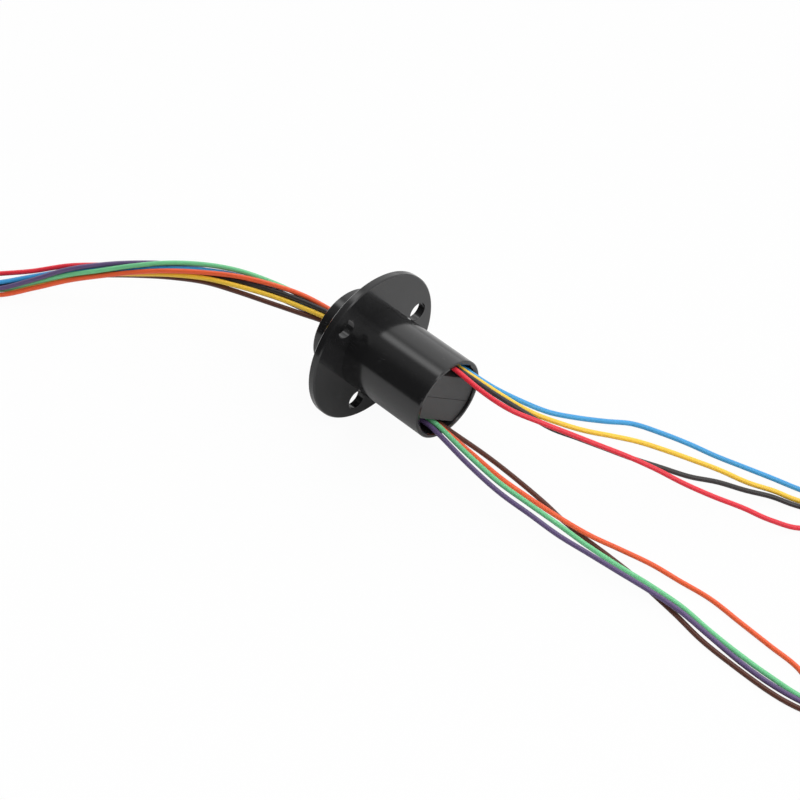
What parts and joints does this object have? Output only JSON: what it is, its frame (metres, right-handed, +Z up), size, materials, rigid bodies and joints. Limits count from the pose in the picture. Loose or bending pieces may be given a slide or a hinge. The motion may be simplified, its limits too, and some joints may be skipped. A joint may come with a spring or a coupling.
{
  "type": "slip ring",
  "caption": "Flange-mounted capsule slip ring: a glossy black tube housing with a round bolt flange, a spinning rotor on ball bearings, and coloured leads out of both ends.",
  "frame": {"origin": "centre of the flange's front face, on the rotation axis", "axes": "+X along the rotation axis, out of the stator's open end; +Z up, +Y to the left seen from behind the flange"},
  "size_m": [0.2795, 0.134, 0.0416],
  "materials": {
    "housing_plastic": "glossy moulded black",
    "holder_plastic": "plain dark grey",
    "circuit_board": "solder mask",
    "gold_alloy": "drawn wire",
    "solder": "tinned",
    "bearing_steel": "ground",
    "spring_steel": "rolled",
    "cage_bronze": "pressed",
    "shaft_plastic": "moulded black",
    "epoxy": "cast",
    "gold_plate": "plated and polished",
    "spacer_plastic": "moulded",
    "pvc_blue": "satin PVC insulation",
    "pvc_yellow": "satin PVC insulation",
    "pvc_black": "satin PVC insulation",
    "pvc_red": "satin PVC insulation",
    "pvc_purple": "satin PVC insulation",
    "pvc_green": "satin PVC insulation",
    "pvc_orange": "satin PVC insulation",
    "pvc_brown": "satin PVC insulation",
    "coiled_leads": "satin PVC insulation, mixed colours",
    "tie_nylon": "nylon"
  },
  "bodies": {
    "stator": {"housing": "housing_plastic", "upper_brush_holder": "holder_plastic", "lower_brush_holder": "holder_plastic", "upper_brush_board": "circuit_board", "lower_brush_board": "circuit_board", "upper_brushes": "gold_alloy", "lower_brushes": "gold_alloy", "upper_solder_joints": "solder", "lower_solder_joints": "solder", "rear_outer_race": "bearing_steel", "front_outer_race": "bearing_steel", "rear_retaining_ring": "spring_steel", "front_preload_washer": "spring_steel", "blue_stator_lead": "pvc_blue", "yellow_stator_lead": "pvc_yellow", "black_stator_lead": "pvc_black", "red_stator_lead": "pvc_red", "purple_stator_lead": "pvc_purple", "green_stator_lead": "pvc_green", "orange_stator_lead": "pvc_orange", "brown_stator_lead": "pvc_brown", "upper_lead_coil": "coiled_leads", "lower_lead_coil": "coiled_leads", "upper_coil_tie": "tie_nylon", "lower_coil_tie": "tie_nylon"},
    "rotor": {"rotor_shaft": "shaft_plastic", "lead_potting": "epoxy", "ring_1": "gold_plate", "ring_2": "gold_plate", "ring_3": "gold_plate", "ring_4": "gold_plate", "ring_5": "gold_plate", "ring_6": "gold_plate", "ring_7": "gold_plate", "ring_8": "gold_plate", "ring_spacers": "spacer_plastic", "stack_clip": "spring_steel", "bearing_sleeve": "spring_steel", "rear_inner_race": "bearing_steel", "front_inner_race": "bearing_steel", "blue_rotor_lead": "pvc_blue", "yellow_rotor_lead": "pvc_yellow", "black_rotor_lead": "pvc_black", "red_rotor_lead": "pvc_red", "purple_rotor_lead": "pvc_purple", "green_rotor_lead": "pvc_green", "orange_rotor_lead": "pvc_orange", "brown_rotor_lead": "pvc_brown", "rotor_lead_coil": "coiled_leads", "rotor_coil_tie": "tie_nylon"},
    "rear_ball_cage": {"rear_cage": "cage_bronze", "rear_balls": "bearing_steel"},
    "front_ball_cage": {"front_cage": "cage_bronze", "front_balls": "bearing_steel"}
  },
  "joints": [
    {"name": "rotor_spin", "type": "hinge", "parent": "stator", "child": "rotor", "pos_m": [0, 0, 0], "axis": [1, 0, 0], "continuous": true},
    {"name": "rear_cage_spin", "type": "hinge", "parent": "stator", "child": "rear_ball_cage", "pos_m": [-0.00745, 0, 0], "axis": [1, 0, 0], "continuous": true},
    {"name": "front_cage_spin", "type": "hinge", "parent": "stator", "child": "front_ball_cage", "pos_m": [0.019, 0, 0], "axis": [1, 0, 0], "continuous": true}
  ],
  "couplings": [
    {"joint": "rear_cage_spin", "follows": "rotor_spin", "ratio": 0.44},
    {"joint": "front_cage_spin", "follows": "rotor_spin", "ratio": 0.425}
  ]
}
